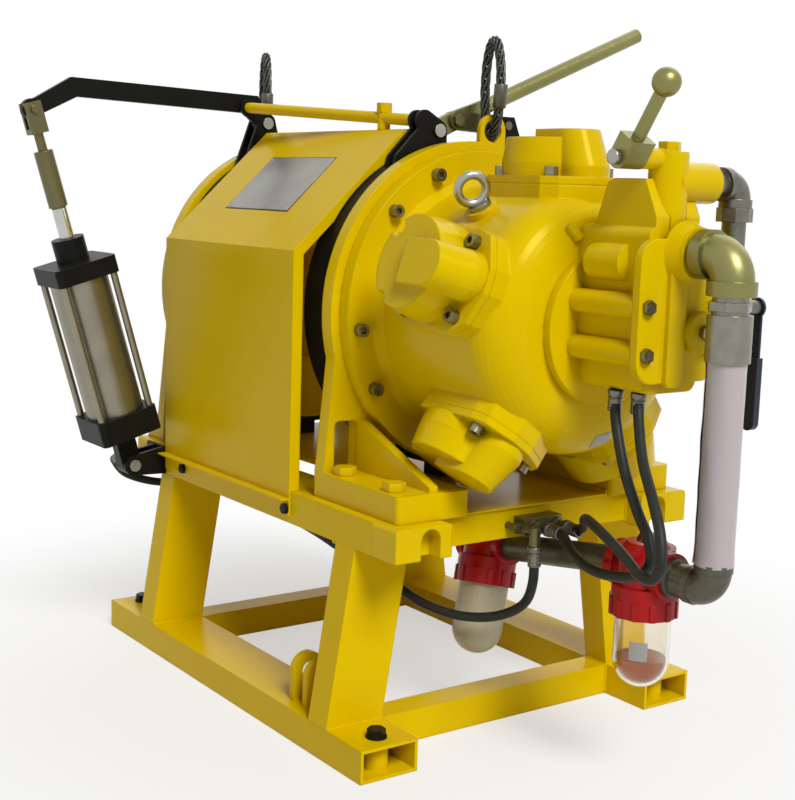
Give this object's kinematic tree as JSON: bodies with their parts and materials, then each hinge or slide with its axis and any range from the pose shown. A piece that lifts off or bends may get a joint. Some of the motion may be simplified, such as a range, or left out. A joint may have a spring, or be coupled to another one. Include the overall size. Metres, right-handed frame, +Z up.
{
  "type": "air winch",
  "caption": "Air winch with a radial piston motor, cable drum, hand and automatic band brakes, drum guard and air line set on a welded skid.",
  "frame": {"origin": "underside of the skid, in the middle of its four anchor holes", "axes": "+X along the drum axis to the motor end, -Y the operator side with the drum guard, +Z up"},
  "size_m": [1.2081, 0.9383, 1.1267],
  "materials": {
    "yellow_enamel": "gloss enamel",
    "yellow_casting": "gloss enamel over cast metal",
    "drum_steel": "gloss enamel",
    "black_paint": "satin black",
    "friction_lining": "matt",
    "bright_steel": "satin",
    "dark_bolts": "blackened",
    "zinc_yellow": "yellow zinc",
    "galvanised": "galvanised",
    "cylinder_alloy": "anodised",
    "chrome_rod": "polished",
    "red_paint": "gloss",
    "clear_bowl": "clear",
    "oil": "amber oil",
    "white_bowl": "milky",
    "hose_rubber": "satin",
    "wire_rope": "dark wire",
    "grip_plastic": "dipped grip"
  },
  "bodies": {
    "frame": {"rail_front": "yellow_enamel", "rail_rear": "yellow_enamel", "base_cross_members": "yellow_enamel", "legs": "yellow_enamel", "top_beams": "yellow_enamel", "corner_pads": "yellow_enamel", "top_cross_beams": "yellow_enamel", "drip_tray": "yellow_enamel", "tie_down_lugs": "yellow_enamel", "anchor_bolts": "dark_bolts", "motor_pedestal": "yellow_enamel", "far_pedestal": "yellow_enamel", "foot_bolts": "zinc_yellow", "drum_guard": "yellow_enamel", "guard_bolts": "dark_bolts", "hand_brake_band": "black_paint", "auto_brake_band": "black_paint", "brake_linings": "friction_lining", "brake_pins": "bright_steel", "tie_bar": "yellow_enamel", "lifting_slings": "wire_rope", "cylinder_bracket": "black_paint", "motor_case": "yellow_casting", "head_1": "yellow_casting", "head_2": "yellow_casting", "head_3": "yellow_casting", "head_4": "yellow_casting", "head_5": "yellow_casting", "motor_bolts": "zinc_yellow", "valve_housing": "yellow_casting", "end_cover": "yellow_casting", "valve_chest": "yellow_casting", "eyebolt": "bright_steel", "upper_elbow": "galvanised", "union_nut": "bright_steel", "ball_valve": "galvanised", "lower_elbow": "zinc_yellow", "down_pipe": "bright_steel", "bottom_elbow": "dark_bolts", "lubricator_head": "red_paint", "lubricator_bowl": "clear_bowl", "lubricator_oil": "oil", "sight_dome": "clear_bowl", "filter_head": "red_paint", "filter_bowl": "white_bowl", "transfer_pipe": "dark_bolts", "manifold": "dark_bolts", "pilot_hose_1": "hose_rubber", "pilot_hose_2": "hose_rubber", "brake_hose": "hose_rubber", "shaft_bearings": "bright_steel"},
    "drum": {"drum": "drum_steel", "drum_shaft": "bright_steel"},
    "hand_lever": {"hand_brake_lever": "zinc_yellow"},
    "hand_link": {"hand_brake_link": "zinc_yellow"},
    "brake_arm": {"brake_arm": "black_paint"},
    "brake_cylinder": {"brake_cylinder": "cylinder_alloy"},
    "piston_rod": {"piston_rod": "chrome_rod"},
    "throttle_lever": {"throttle_lever": "zinc_yellow"},
    "valve_handle": {"valve_handle": "grip_plastic"}
  },
  "joints": [
    {"name": "drum_spin", "type": "hinge", "parent": "frame", "child": "drum", "pos_m": [-0.07, 0, 0.652], "axis": [1, 0, 0], "continuous": true},
    {"name": "hand_lever_swing", "type": "hinge", "parent": "frame", "child": "hand_lever", "pos_m": [0.168, -0.048, 0.932], "axis": [1, 0, 0], "range_deg": [0, 23]},
    {"name": "hand_link_swing", "type": "hinge", "parent": "hand_lever", "child": "hand_link", "pos_m": [0.168, -0.009, 0.95], "axis": [1, 0, 0], "range_deg": [-31.5, 0]},
    {"name": "brake_arm_swing", "type": "hinge", "parent": "frame", "child": "brake_arm", "pos_m": [-0.302, -0.09, 0.95], "axis": [1, 0, 0], "range_deg": [0, 5.2]},
    {"name": "brake_cylinder_tilt", "type": "hinge", "parent": "frame", "child": "brake_cylinder", "pos_m": [-0.302, -0.352, 0.338], "axis": [1, 0, 0], "range_deg": [0, 0.95]},
    {"name": "piston_rod_slide", "type": "slide", "parent": "brake_cylinder", "child": "piston_rod", "axis": [0, -0.2774, 0.9608], "range_m": [-0.0388, 0], "stiffness_N_per_m": 4000, "springref_m": 0.03},
    {"name": "throttle_swing", "type": "hinge", "parent": "frame", "child": "throttle_lever", "pos_m": [0.632, -0.081, 0.889], "axis": [0, 1, 0], "range_deg": [-25, 25], "stiffness_Nm_per_rad": 8, "springref_deg": -2.01},
    {"name": "valve_handle_turn", "type": "hinge", "parent": "frame", "child": "valve_handle", "pos_m": [0.632, 0.1981, 0.6851], "axis": [0, 1, 0], "range_deg": [-90, 0]}
  ],
  "couplings": [
    {"joint": "hand_link_swing", "follows": "hand_lever_swing", "ratio": -1.3635},
    {"joint": "brake_cylinder_tilt", "follows": "brake_arm_swing", "ratio": 0.1729},
    {"joint": "piston_rod_slide", "follows": "brake_arm_swing", "m_per_rad": -0.4256}
  ]
}
